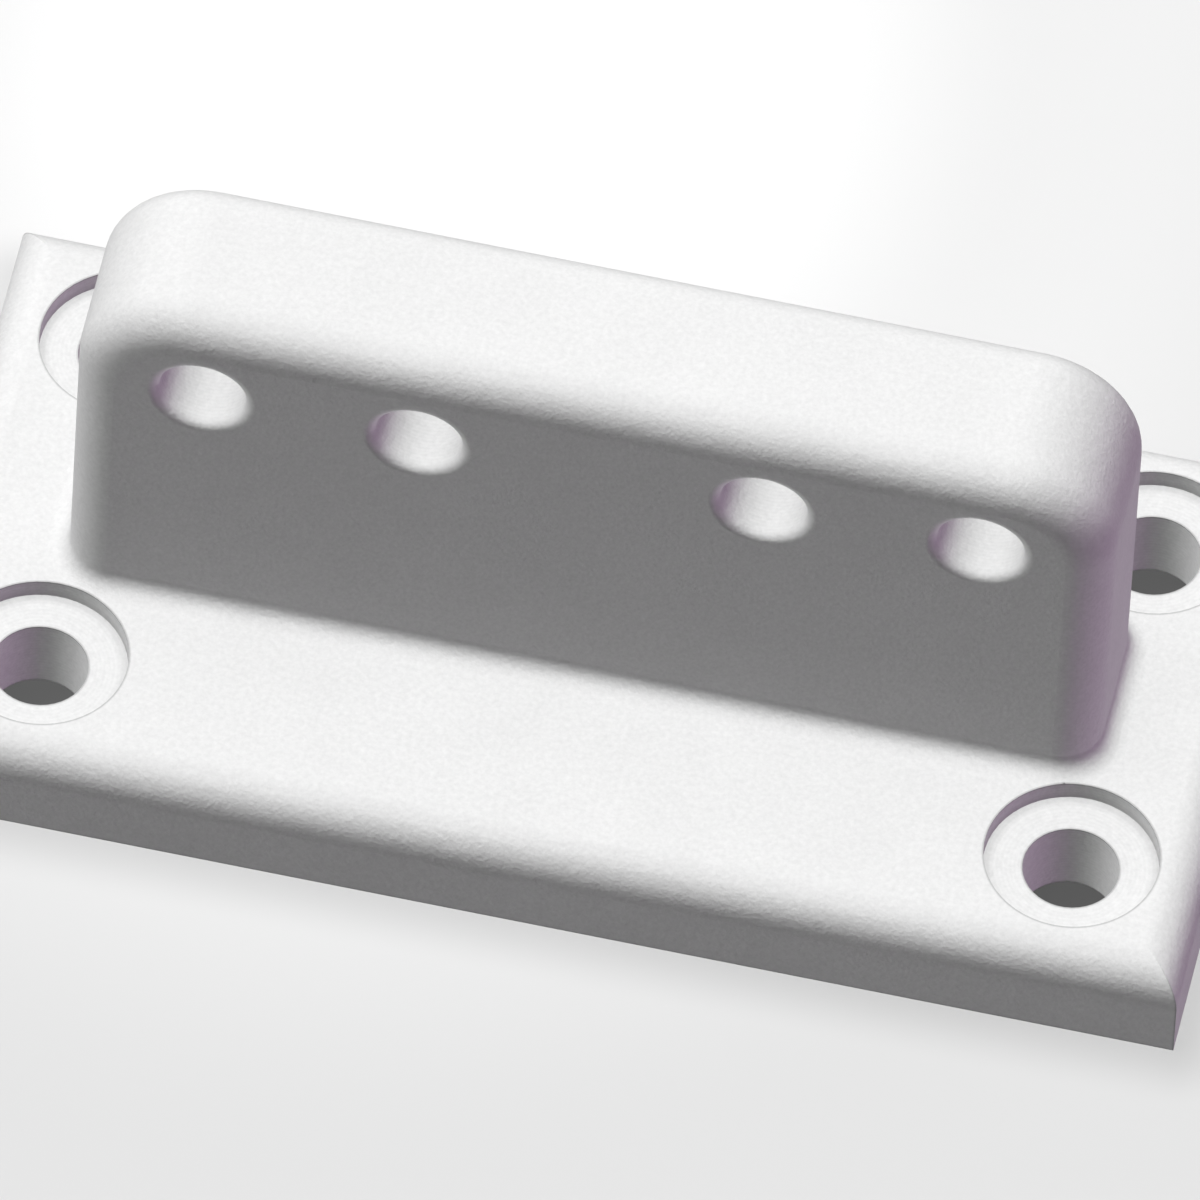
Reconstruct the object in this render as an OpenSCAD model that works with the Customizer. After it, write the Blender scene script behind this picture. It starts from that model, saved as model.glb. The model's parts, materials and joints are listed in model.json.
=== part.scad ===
// Pipe support bracket: a thick upright wall on a bolted base plate, in one piece of metal.
// Four holes through the wall take the pipe clamps' bolts, and four seated holes in the base
// plate take the holding-down bolts. The origin is at the centre of the base plate's underside,
// with X along the wall, Y from front to back and Z up. All sizes are in millimetres.

/* [Base plate] */
// Length of the base plate, from left to right
base_length = 300; // [250:1:500]
// Depth of the base plate, from front to back
base_depth = 150; // [146:1:300]
// Thickness of the base plate
base_thickness = 25; // [12:1:60]
// Radius of the round along the base plate's four top edges
base_edge_round = 10; // [1:0.5:20]

/* [Bolt holes in the base plate] */
// Diameter of the four bolt holes
bolt_hole_d = 22; // [6:0.5:36]
// Diameter of the flat seat that is sunk round each bolt hole
seat_d = 40; // [24:0.5:45]
// Depth of the seat below the top of the base plate
seat_depth = 5; // [1:0.5:10]
// Distance of a bolt hole's centre from the end of the base plate
bolt_end_inset = 30.8; // [22:0.1:60]
// Distance of a bolt hole's centre from the front or back of the base plate
bolt_side_inset = 29.8; // [22:0.1:32]

/* [Wall] */
// Distance of the wall's end from the end of the base plate
wall_end_inset = 30.5; // [16:0.5:55]
// Thickness of the wall, from front to back
wall_thickness = 45; // [22:1:50]
// Height of the wall above the base plate
wall_height = 100; // [50:1:250]
// Radius of the wall's two top corners, seen from the front
wall_corner_round = 25; // [12:1:35]
// Radius of the round that runs up, over and down the wall's front and back edges
wall_edge_round = 10; // [1:0.5:11]
// Radius of the fillet round the foot of the wall
foot_fillet = 5; // [1:0.5:12]

/* [Holes through the wall] */
// Diameter of the four holes through the wall
clamp_hole_d = 20; // [6:0.5:22]
// Radius of the round at the mouths of these holes, front and back
mouth_round = 2.5; // [0.5:0.25:3.5]
// Distance of an outer hole's centre from the end of the wall
outer_hole_inset = 29.9; // [26:0.1:56]
// Distance between the centres of the outer and the inner hole of a pair
hole_pitch = 49.9; // [26:0.1:76]
// Depth of the outer holes' centres below the top of the wall
outer_hole_drop = 23.8; // [23:0.1:80]
// Depth of the inner holes' centres below the top of the wall
inner_hole_drop = 24.7; // [23:0.1:80]

/* [Hidden] */
$fn = 96;

// How far a cutter runs past the face that it opens
cut_past = 1;
// How far the root of the foot fillet lies inside the wall and the base plate
fillet_root = 1;

// Half sizes of the base plate and the wall, and the height of the wall's top
base_half_length = base_length / 2;
base_half_depth = base_depth / 2;
wall_half_length = base_half_length - wall_end_inset;
wall_half_thickness = wall_thickness / 2;
top_height = base_thickness + wall_height;

// Centre of the arc at the wall's top right corner, seen from the front
corner_x = wall_half_length - wall_corner_round;
corner_z = top_height - wall_corner_round;

// Centre of a bolt hole, seen from above
bolt_x = base_half_length - bolt_end_inset;
bolt_y = base_half_depth - bolt_side_inset;

// Centres of the right-hand pair of holes through the wall, as [x, z] seen from the front
outer_hole_x = wall_half_length - outer_hole_inset;
clamp_holes = [
    [outer_hole_x, top_height - outer_hole_drop],
    [outer_hole_x - hole_pitch, top_height - inner_hole_drop]
];

// Draws its children at the right and, mirrored, at the left
module left_and_right() {
    children();
    mirror([1, 0, 0]) children();
}

// Draws its children at the back and, mirrored, at the front
module back_and_front() {
    children();
    mirror([0, 1, 0]) children();
}

// Upright section with a flat foot on the X axis and its two top corners rounded
module round_topped_section(width, height, radius) {
    translate([-width / 2, 0]) square([width, height - radius]);
    translate([radius - width / 2, 0]) square([width - 2 * radius, height]);
    for (side = [-1, 1])
        translate([side * (width / 2 - radius), height - radius]) circle(radius);
}

// Turns an upright section so that it stands in the YZ plane, and runs it along X about the middle
module along_x(length) {
    rotate([90, 0, 90]) linear_extrude(length, center = true) children();
}

// Turns an upright section so that it stands in the XZ plane, and runs it along Y about the middle
module along_y(length) {
    rotate([90, 0, 0]) linear_extrude(length, center = true) children();
}

// Plate whose top edges are rounded: the rounds of neighbouring sides meet in a mitre
module base_plate() {
    intersection() {
        along_x(base_length) round_topped_section(base_depth, base_thickness, base_edge_round);
        along_y(base_depth) round_topped_section(base_length, base_thickness, base_edge_round);
    }
}

// Plan of the wall below its top corners, with the four upright edges rounded
module wall_plan() {
    edge_x = wall_half_length - wall_edge_round;
    edge_y = wall_half_thickness - wall_edge_round;
    square([2 * wall_half_length, 2 * edge_y], center = true);
    square([2 * edge_x, wall_thickness], center = true);
    for (x = [-edge_x, edge_x], y = [-edge_y, edge_y])
        translate([x, y]) circle(wall_edge_round);
}

// Quarter turn of the wall's section about the centre of the top right corner
module wall_corner() {
    translate([corner_x, 0, corner_z])
        rotate([90, 0, 0]) rotate_extrude(angle = 90)
            rotate(-90) round_topped_section(wall_thickness, wall_corner_round, wall_edge_round);
}

// Wall with its edge round running on over both top corners
module upright_wall() {
    translate([0, 0, base_thickness]) {
        linear_extrude(wall_height - wall_corner_round) wall_plan();
        along_x(2 * corner_x) round_topped_section(wall_thickness, wall_height, wall_edge_round);
    }
    left_and_right() wall_corner();
}

// Section of the foot fillet, with its corner at the origin and its root beyond both axes
module fillet_section() {
    difference() {
        translate([-fillet_root, -fillet_root]) square(foot_fillet + fillet_root);
        translate([foot_fillet, foot_fillet]) circle(foot_fillet);
    }
}

// Fillet round the wall's foot: straight along each side, and turned about each rounded edge
module wall_foot() {
    edge_x = wall_half_length - wall_edge_round;
    edge_y = wall_half_thickness - wall_edge_round;
    translate([0, 0, base_thickness]) {
        back_and_front()
            translate([0, wall_half_thickness, 0]) along_x(2 * edge_x) fillet_section();
        left_and_right()
            translate([wall_half_length, 0, 0]) along_y(2 * edge_y) fillet_section();
        left_and_right() back_and_front()
            translate([edge_x, edge_y, 0])
                rotate_extrude(angle = 90) translate([wall_edge_round, 0]) fillet_section();
    }
}

// Bolt hole through the base plate, and the cutter that sinks its seat and clears the foot fillet
module bolt_hole() {
    translate([bolt_x, bolt_y, -cut_past])
        cylinder(h = base_thickness + 2 * cut_past, d = bolt_hole_d);
    translate([bolt_x, bolt_y, base_thickness - seat_depth])
        cylinder(h = seat_depth + foot_fillet, d = seat_d);
}

// Half section of a rounded hole mouth that opens at the X axis, downwards
module mouth_section() {
    rim = clamp_hole_d / 2 + mouth_round;
    difference() {
        translate([0, -mouth_round]) square([rim, mouth_round + cut_past]);
        translate([rim, -mouth_round]) circle(mouth_round);
    }
}

// Hole through the wall along Y, with a rounded mouth at the front and the back
module clamp_hole() {
    rotate([90, 0, 0])
        cylinder(h = wall_thickness + 2 * cut_past, d = clamp_hole_d, center = true);
    back_and_front()
        translate([0, wall_half_thickness, 0]) rotate([-90, 0, 0]) rotate_extrude() mouth_section();
}

// The whole bracket, which is one solid
module bracket() {
    color([0.93, 0.93, 0.93]) difference() {
        union() {
            base_plate();
            upright_wall();
            wall_foot();
        }
        left_and_right() back_and_front() bolt_hole();
        for (place = clamp_holes)
            left_and_right() translate([place[0], 0, place[1]]) clamp_hole();
    }
}

bracket();
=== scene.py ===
import json
import math

import bpy
from mathutils import Matrix, Vector


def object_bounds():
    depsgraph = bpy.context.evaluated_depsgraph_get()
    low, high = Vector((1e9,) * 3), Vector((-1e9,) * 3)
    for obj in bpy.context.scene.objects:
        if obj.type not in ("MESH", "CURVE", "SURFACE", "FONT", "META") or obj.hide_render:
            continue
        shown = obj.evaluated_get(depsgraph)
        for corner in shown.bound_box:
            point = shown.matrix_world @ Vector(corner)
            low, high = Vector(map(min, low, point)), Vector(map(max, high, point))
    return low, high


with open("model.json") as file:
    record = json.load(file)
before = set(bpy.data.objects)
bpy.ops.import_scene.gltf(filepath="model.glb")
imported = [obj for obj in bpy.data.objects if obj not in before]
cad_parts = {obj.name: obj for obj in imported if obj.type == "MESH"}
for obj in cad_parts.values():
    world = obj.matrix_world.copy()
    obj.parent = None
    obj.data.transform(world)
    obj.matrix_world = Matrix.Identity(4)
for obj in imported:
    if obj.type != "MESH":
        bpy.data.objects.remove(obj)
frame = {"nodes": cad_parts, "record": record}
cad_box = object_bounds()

# A pipe support bracket in a pale powder coat, on a pale floor. Lengths are in metres and angles
# in degrees.
MM = 0.001
WHITE = (1.0, 1.0, 1.0)

# The photograph's view. Its picture is a parallel one, so a very long lens stands far off. The
# camera sees from and up to these shares of its distance.
VIEW_AZIMUTH = 9.2648
VIEW_ELEVATION = 53.4193
VIEW_ROLL = 3.6325
VIEW_WIDTH = 0.27093
VIEW_TARGET = Vector((0.00325, -0.01695, 0.04739))
LENS_MM = 1600.0
SENSOR_MM = 36.0
SEES_FROM = 0.5
SEES_TO = 2.0

# The paint: its colour and gloss, and how far tone and gloss wander. A noise has the size of its
# features, the steps of finer noise in them, and the strength of each step.
PAINT = (0.80, 0.80, 0.80)
PAINT_ROUGHNESS = 0.46
PAINT_SPECULAR = 0.40
CLOUDS = {"size": 0.022, "detail": 4.0, "roughness": 0.55}
CLOUD_RANGE = 0.08
SPECKS = {"size": 0.0012, "detail": 2.0, "roughness": 0.60}
SPECK_RANGE = 0.22
GLOSS_CLOUDS = {"size": 0.012, "detail": 4.0, "roughness": 0.60}
GLOSS_RANGE = 0.40

# The powder coat's relief: a long orange peel with a fine texture on it
PEEL = {"size": 0.0026, "detail": 2.0, "roughness": 0.50}
PEEL_HEIGHT = 0.000110
GRAIN = {"size": 0.0009, "detail": 1.0, "roughness": 0.50}
GRAIN_HEIGHT = 0.000090

# Painted shade and thin paint along the sharp edges, painted shade in the seats' inner corners, the
# radius of the base plate's top rounds, and the cutter's marks, which end this far from the edge of
# a bore or seat
EDGE_PAINTED_SHADE = 0.62
EDGE_REACH = 0.0006
CREASE_PAINTED_SHADE = 0.80
CREASE_REACH = 0.0030
TOP_ROUND = 0.0100
MARK_PITCH = 0.0010
MARK_HEIGHT = 0.000012
MARK_SHADE = 0.03
MARK_MARGIN = 0.0002

# The floor: a painted pool of light behind the bracket, what the floor throws back, a painted
# shadow along the bracket's foot, and a painted shade patch under the bracket that shows down the
# bolt holes
FLOOR_WHITE = 0.905
FLOOR_PALE = 0.80
FLOOR_NEAR = 0.70
FLOOR_LIGHT_POOL = Vector((-0.068, 0.161))
FLOOR_LIGHT_POOL_STRETCH = 1.23
FLOOR_LIGHT_POOL_REACH = (0.095, 0.165)
FLOOR_NEAR_REACH = (0.19, 0.32)
FLOOR_BOUNCE = 0.40
FLOOR_PAINTED_SHADOW = 0.82
FLOOR_PAINTED_SHADOW_REACH = (0.0, 0.016)
FLOOR_PAINTED_SHADE_UNDER = 0.165
FLOOR_PAINTED_SHADE_UNDER_REACH = (-0.004, -0.002)
FLOOR_HALF_SIZE = 12.0

# Light: a strength is the shade that the lamp alone gives a white surface that faces it. The key
# casts soft shadows. The others cast none and aren't thrown on: fills show in the paint's colour
# alone, and the sheen in its gloss alone. The world's two levels are its light and how it looks.
LAMPS = [
    {"name": "key", "role": "key", "colour": WHITE,
     "from": (-0.25, 0.00, 1.00), "strength": 0.12, "angle": 60.0},
    {"name": "top", "role": "fill", "colour": WHITE,
     "from": (-0.13, 0.22, 0.97), "strength": 0.65, "angle": 30.0},
    {"name": "upper_left", "role": "fill", "colour": WHITE,
     "from": (-0.50, 0.00, 0.87), "strength": 0.42, "angle": 30.0},
    {"name": "lower_left", "role": "fill", "colour": WHITE,
     "from": (-0.70, -0.14, -0.70), "strength": 0.49, "angle": 30.0},
    {"name": "lower_front", "role": "fill", "colour": (0.94, 1.00, 0.94),
     "from": (0.43, -0.25, -0.87), "strength": 0.31, "angle": 30.0},
    {"name": "lower_back", "role": "fill", "colour": (0.92, 1.00, 0.92),
     "from": (0.25, 0.43, -0.87), "strength": 0.38, "angle": 30.0},
    {"name": "right", "role": "fill", "colour": (0.95, 0.30, 1.00),
     "from": (0.93, -0.08, -0.35), "strength": 0.15, "angle": 30.0},
    {"name": "sheen", "role": "sheen", "colour": WHITE,
     "from": (-0.10, -0.50, 0.86), "strength": 0.30, "angle": 30.0},
]
WORLD_FILL = 0.02
WORLD_SEEN = 1.0


def add_object(name, data):
    """A new object in the scene that shows this data."""
    added = bpy.data.objects.new(name, data)
    bpy.context.scene.collection.objects.link(added)
    return added


def view_axes():
    """The view's right, up and backward directions."""
    a, e, roll = (math.radians(x) for x in (VIEW_AZIMUTH, VIEW_ELEVATION, VIEW_ROLL))
    right = Vector((math.cos(a), math.sin(a), 0.0))
    up = Vector((-math.sin(a) * math.sin(e), math.cos(a) * math.sin(e), math.cos(e)))
    back = Vector((math.sin(a) * math.cos(e), -math.cos(a) * math.cos(e), math.sin(e)))
    rolled_right = math.cos(roll) * right + math.sin(roll) * up
    rolled_up = math.cos(roll) * up - math.sin(roll) * right
    return rolled_right, rolled_up, back


def make_camera():
    data = bpy.data.cameras.new("camera")
    data.sensor_width = SENSOR_MM
    data.lens = LENS_MM
    distance = VIEW_WIDTH * LENS_MM / SENSOR_MM
    data.clip_start = distance * SEES_FROM
    data.clip_end = distance * SEES_TO
    right, up, back = view_axes()
    turn = Matrix((right, up, back)).transposed().to_4x4()
    camera = add_object("camera", data)
    camera.matrix_world = Matrix.Translation(VIEW_TARGET + back * distance) @ turn
    bpy.context.scene.camera = camera


def make_lamp(lamp):
    data = bpy.data.lights.new(lamp["name"], "SUN")
    data.energy = lamp["strength"] * math.pi
    data.angle = math.radians(lamp["angle"])
    data.color = lamp["colour"]
    sun = add_object(lamp["name"], data)
    sun.rotation_euler = Vector(lamp["from"]).to_track_quat("Z", "Y").to_euler()
    if lamp["role"] != "key":
        data.use_shadow = False
        data.cycles.max_bounces = 0
        sun.visible_glossy = lamp["role"] == "sheen"
        sun.visible_diffuse = lamp["role"] == "fill"


class Nodes:
    """A material's or the world's nodes, with short ways to add and join them."""

    def __init__(self, tree):
        self.tree = tree
        tree.nodes.clear()

    def add(self, kind, inputs, **settings):
        """A node whose inputs are joined, where given an output socket, or set to a value."""
        node = self.tree.nodes.new("ShaderNode" + kind)
        for name, value in settings.items():
            setattr(node, name, value)
        for key, value in inputs.items():
            if isinstance(value, bpy.types.NodeSocket):
                self.tree.links.new(value, node.inputs[key])
            else:
                node.inputs[key].default_value = value
        return node

    def maths(self, operation, *values):
        return self.add("Math", dict(enumerate(values)), operation=operation).outputs["Value"]

    def product(self, values):
        result = values[0]
        for value in values[1:]:
            result = self.maths("MULTIPLY", result, value)
        return result

    def distance(self, across, along):
        """The length of a flat vector with these two parts."""
        squares = self.maths("MULTIPLY_ADD", across, across, self.maths("MULTIPLY", along, along))
        return self.maths("SQRT", squares)

    def noise(self, where, size, detail, roughness):
        """Cloudy noise from 0 to 1."""
        inputs = {"Vector": where, "Scale": 1.0 / size, "Detail": detail, "Roughness": roughness}
        return self.add("TexNoise", inputs).outputs["Fac"]

    def smooth(self, value, low, high, to_low, to_high):
        """A smooth change from to_low at low to to_high at high."""
        inputs = {"Value": value, "From Min": low, "From Max": high,
                  "To Min": to_low, "To Max": to_high}
        return self.add("MapRange", inputs, interpolation_type="SMOOTHSTEP").outputs["Result"]

    def wander(self, noise, spread):
        """A factor about 1 that follows the noise, with this much between its ends."""
        return self.maths("MULTIPLY_ADD", noise, spread, 1.0 - spread / 2)

    def seen_directly(self):
        """1 for what the camera sees, in a mirror or through glass too, and 0 for light's way."""
        path = self.add("LightPath", {}).outputs
        seen = self.maths("MAXIMUM", path["Is Camera Ray"], path["Is Glossy Ray"])
        return self.maths("MAXIMUM", seen, path["Is Transmission Ray"])


def new_material(name):
    """A material and its nodes, of which it has none yet."""
    material = bpy.data.materials.new(name)
    material.use_nodes = True
    return material, Nodes(material.node_tree)


def make_world():
    world = bpy.data.worlds.new("world")
    bpy.context.scene.world = world
    world.use_nodes = True
    n = Nodes(world.node_tree)
    level = n.maths("MULTIPLY_ADD", n.seen_directly(), WORLD_SEEN - WORLD_FILL, WORLD_FILL)
    light = n.add("Background", {"Color": (*WHITE, 1.0), "Strength": level})
    n.add("OutputWorld", {"Surface": light.outputs["Background"]})


def floor_material():
    material, n = new_material("floor")
    where = n.add("SeparateXYZ", {"Vector": n.add("TexCoord", {}).outputs["Object"]}).outputs

    # painted pool of light: the floor is palest round this spot and darker further out
    from_light_pool = n.distance(
        n.maths("MULTIPLY_ADD", where["X"], FLOOR_LIGHT_POOL_STRETCH, -FLOOR_LIGHT_POOL_STRETCH * FLOOR_LIGHT_POOL.x),
        n.maths("SUBTRACT", where["Y"], FLOOR_LIGHT_POOL.y))
    high = cad_box[1]
    out_x = n.maths("SUBTRACT", n.maths("ABSOLUTE", where["X"]), high.x)
    out_y = n.maths("SUBTRACT", n.maths("ABSOLUTE", where["Y"]), high.y)
    clear = n.distance(n.maths("MAXIMUM", out_x, 0.0), n.maths("MAXIMUM", out_y, 0.0))
    # The floor's colour: a painted pool of light, a painted shadow along the foot and a painted
    # shade patch under the bracket
    floor_painted_light = n.product([
        n.smooth(from_light_pool, *FLOOR_LIGHT_POOL_REACH, FLOOR_WHITE, FLOOR_PALE),
        n.smooth(from_light_pool, *FLOOR_NEAR_REACH, 1.0, FLOOR_NEAR / FLOOR_PALE),
        n.smooth(clear, *FLOOR_PAINTED_SHADOW_REACH, FLOOR_PAINTED_SHADOW, 1.0),
        # painted shade patch under the bracket
        n.smooth(n.maths("MAXIMUM", out_x, out_y), *FLOOR_PAINTED_SHADE_UNDER_REACH, FLOOR_PAINTED_SHADE_UNDER, 1.0)])

    shown = n.add("Mix", {"Factor": n.seen_directly(), "A": FLOOR_BOUNCE, "B": floor_painted_light},
                  data_type="FLOAT")
    surface = n.add("BsdfDiffuse", {"Color": shown.outputs["Result"]})
    n.add("OutputMaterial", {"Surface": surface.outputs["BSDF"]})
    return material


def make_floor():
    mesh = bpy.data.meshes.new("floor")
    s = FLOOR_HALF_SIZE
    mesh.from_pydata([(-s, -s, 0), (s, -s, 0), (s, s, 0), (-s, s, 0)], [], [(0, 1, 2, 3)])
    mesh.materials.append(floor_material())
    add_object("floor", mesh)


def mounts(start):
    """The record's mounts whose names start so."""
    return [m for m in frame["record"]["mounts"] if m["name"].startswith(start)]


class Places:
    """Where a point of the paint lies. The bracket's four quarters are alike."""

    def __init__(self, n, where):
        self.n = n
        parts = n.add("SeparateXYZ", {"Vector": where}).outputs
        self.y, self.z = parts["Y"], parts["Z"]
        self.side, depth = n.maths("ABSOLUTE", parts["X"]), n.maths("ABSOLUTE", self.y)
        high = cad_box[1]
        self.in_x = n.maths("SUBTRACT", high.x, self.side)
        self.in_y = n.maths("SUBTRACT", high.y, depth)

        bolts, seat = mounts("base_bolts")[0]["dims"], mounts("bolt_seat")[0]
        seat_half = seat["dims"]["length_mm"] * MM / 2
        self.hole_radius = bolts["hole_r_mm"] * MM
        self.seat_radius = seat["dims"]["r_mm"] * MM
        self.seat_top = seat["pos_m"][2] + seat_half
        self.seat_floor = seat["pos_m"][2] - seat_half
        self.from_bolt = n.distance(
            n.maths("SUBTRACT", self.side, bolts["spacing_x_mm"] * MM / 2),
            n.maths("SUBTRACT", depth, bolts["spacing_y_mm"] * MM / 2))

    def from_ring(self, radius):
        """Distance from a ring on the seat's floor, round the bolt hole's axis."""
        return self.n.distance(self.n.maths("SUBTRACT", self.from_bolt, radius),
                               self.n.maths("SUBTRACT", self.z, self.seat_floor))


def edge_painted_shade_and_thin_paint(n, at):
    """Painted shade along the sharp edges, where a small round would turn from the light, and thin
    paint there: rims, the base plate's mitres and its lowest edge. A mitre fades out towards the
    top, where the two rounds run into one plane."""
    below = n.maths("MINIMUM", n.maths("SUBTRACT", at.z, at.seat_top), 0.0)
    rim = n.distance(n.maths("SUBTRACT", at.from_bolt, at.seat_radius), below)
    mitre = n.maths("MULTIPLY_ADD", n.maths("MAXIMUM", at.in_x, at.in_y), EDGE_REACH / TOP_ROUND,
                    n.maths("ABSOLUTE", n.maths("SUBTRACT", at.in_x, at.in_y)))
    nearest = n.maths("MINIMUM", n.maths("MINIMUM", rim, at.from_ring(at.hole_radius)),
                      n.maths("MINIMUM", mitre, at.z))
    return n.smooth(nearest, 0.0, EDGE_REACH, EDGE_PAINTED_SHADE, 1.0)


def painted_crease_shade(n, at):
    """Painted shade in the corner between a seat's floor and its wall."""
    return n.smooth(at.from_ring(at.seat_radius), 0.0, CREASE_REACH, CREASE_PAINTED_SHADE, 1.0)


def cutter_marks(n, at):
    """Fine rings, from -1 to 1, on the bolt seats and in all the holes."""
    seat = n.maths("MULTIPLY", n.maths("LESS_THAN", at.from_bolt, at.seat_radius + MARK_MARGIN),
                   n.maths("LESS_THAN", at.z, at.seat_top - MARK_MARGIN))
    bore = 0.0
    for hole in mounts("clamp_hole"):
        across, _, up = hole["pos_m"]
        if across > 0:
            from_axis = n.distance(n.maths("SUBTRACT", at.side, across),
                                   n.maths("SUBTRACT", at.z, up))
            reach = hole["dims"]["r_mm"] * MM + MARK_MARGIN
            bore = n.maths("MAXIMUM", bore, n.maths("LESS_THAN", from_axis, reach))
    along = n.maths("MULTIPLY_ADD", n.maths("ADD", at.from_bolt, at.z), seat,
                    n.maths("MULTIPLY", at.y, bore))
    rings = n.maths("SINE", n.maths("MULTIPLY", along, 2 * math.pi / MARK_PITCH))
    return n.maths("MULTIPLY", rings, n.maths("MAXIMUM", seat, bore))


def paint_material():
    material, n = new_material("paint")
    where = n.add("TexCoord", {}).outputs["Object"]
    at = Places(n, where)
    marks = cutter_marks(n, at)

    # The paint's colour: its own clouds, specks and cutter marks, times painted shade along the
    # sharp edges and in the seats' inner corners
    tone_and_painted_shade = n.product([
        n.wander(n.noise(where, **CLOUDS), CLOUD_RANGE),
        n.wander(n.noise(where, **SPECKS), SPECK_RANGE),
        n.maths("MULTIPLY_ADD", marks, MARK_SHADE / 2, 1.0),
        edge_painted_shade_and_thin_paint(n, at),
        painted_crease_shade(n, at)])
    colour = n.add("VectorMath", {"Vector": PAINT, "Scale": tone_and_painted_shade}, operation="SCALE")

    rough = n.wander(n.noise(where, **GLOSS_CLOUDS), GLOSS_RANGE)
    rough = n.maths("MULTIPLY", rough, PAINT_ROUGHNESS)

    relief = n.maths("MULTIPLY", n.noise(where, **PEEL), PEEL_HEIGHT)
    relief = n.maths("MULTIPLY_ADD", n.noise(where, **GRAIN), GRAIN_HEIGHT, relief)
    relief = n.maths("MULTIPLY_ADD", marks, MARK_HEIGHT / 2, relief)
    bump = n.add("Bump", {"Strength": 1.0, "Distance": 1.0, "Height": relief})

    surface = n.add("BsdfPrincipled", {
        "Base Color": colour.outputs["Vector"], "Roughness": rough,
        "Normal": bump.outputs["Normal"], "Specular IOR Level": PAINT_SPECULAR})
    n.add("OutputMaterial", {"Surface": surface.outputs["BSDF"]})
    return material


def paint_bracket():
    bracket = frame["nodes"]["bracket"]
    bracket.data.materials.clear()
    bracket.data.materials.append(paint_material())


bpy.context.scene.view_settings.view_transform = "Standard"
make_camera()
make_world()
for lamp in LAMPS:
    make_lamp(lamp)
make_floor()
paint_bracket()
